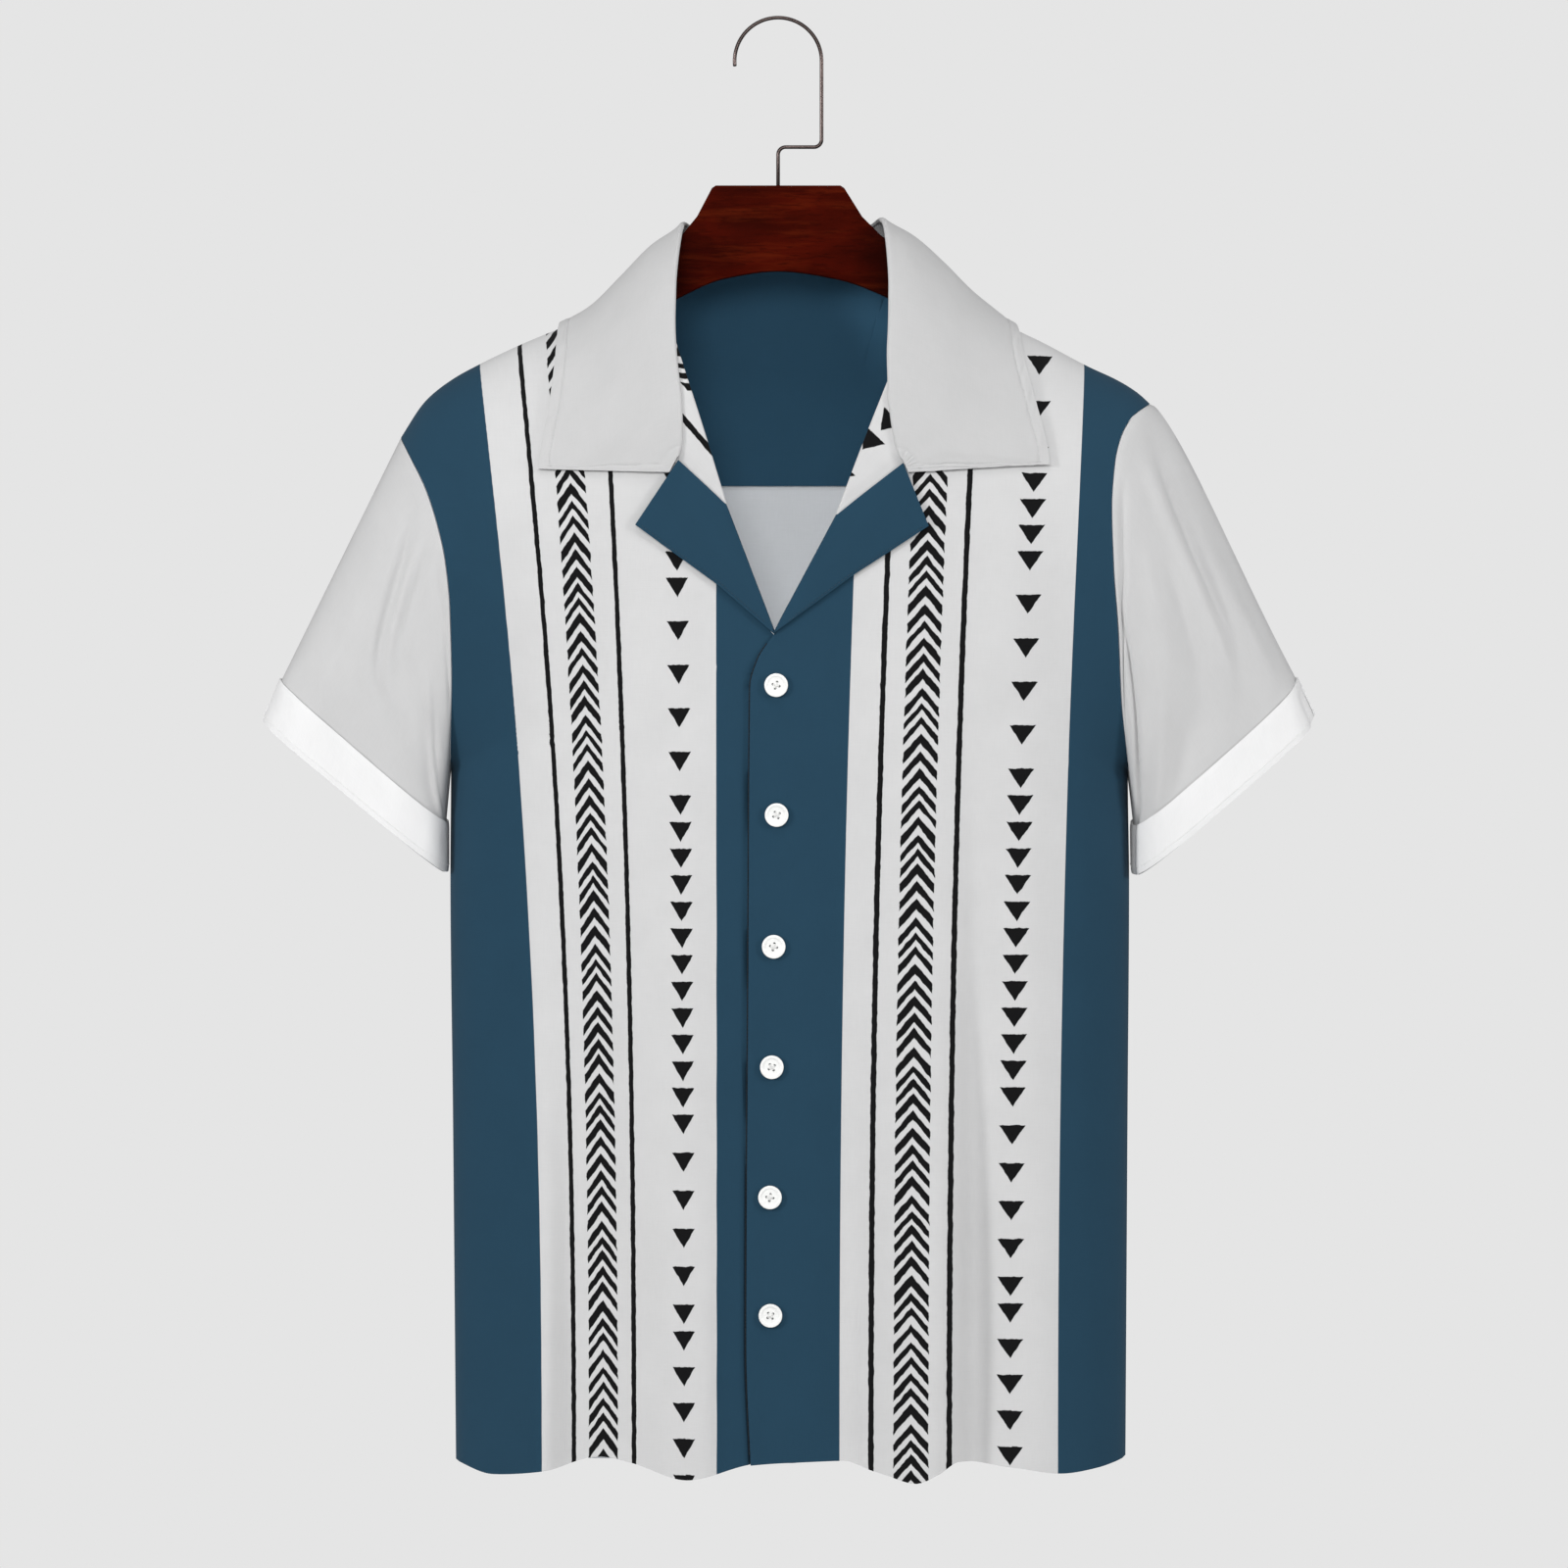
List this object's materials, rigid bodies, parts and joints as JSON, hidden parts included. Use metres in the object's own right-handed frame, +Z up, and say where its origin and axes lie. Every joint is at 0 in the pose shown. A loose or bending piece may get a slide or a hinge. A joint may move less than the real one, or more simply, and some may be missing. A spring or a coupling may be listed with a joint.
{
  "type": "shirt on hanger",
  "caption": "Short-sleeved button-up camp-collar shirt with printed bands, hanging on a dark wooden hanger with a wire hook.",
  "frame": {"origin": "inside top of the hook, where it rests on its rail", "axes": "+Z up; +X towards the viewer's right seen from the front; the front of the shirt faces -Y"},
  "size_m": [0.6768, 0.1267, 0.9393],
  "materials": {
    "printed_cotton": "woven cotton, blue with white printed bands",
    "collar_cotton": "woven cotton, white",
    "facing_cotton": "woven cotton, dark blue",
    "button_plastic": "polished white",
    "dark_wood": "dark red varnish",
    "wire": "polished steel wire"
  },
  "bodies": {
    "root": {"front_left": "printed_cotton", "front_right": "printed_cotton", "back": "printed_cotton", "neck_facing_left": "printed_cotton", "neck_facing_right": "printed_cotton", "sleeve_left": "collar_cotton", "sleeve_right": "collar_cotton", "cuff_left": "collar_cotton", "cuff_right": "collar_cotton", "collar": "collar_cotton", "collar_stand": "collar_cotton", "lapel_left": "facing_cotton", "lapel_right": "facing_cotton", "yoke_facing": "facing_cotton", "button_1": "button_plastic", "button_2": "button_plastic", "button_3": "button_plastic", "button_4": "button_plastic", "button_5": "button_plastic", "button_6": "button_plastic", "hanger": "dark_wood", "hook": "wire"}
  },
  "joints": []
}
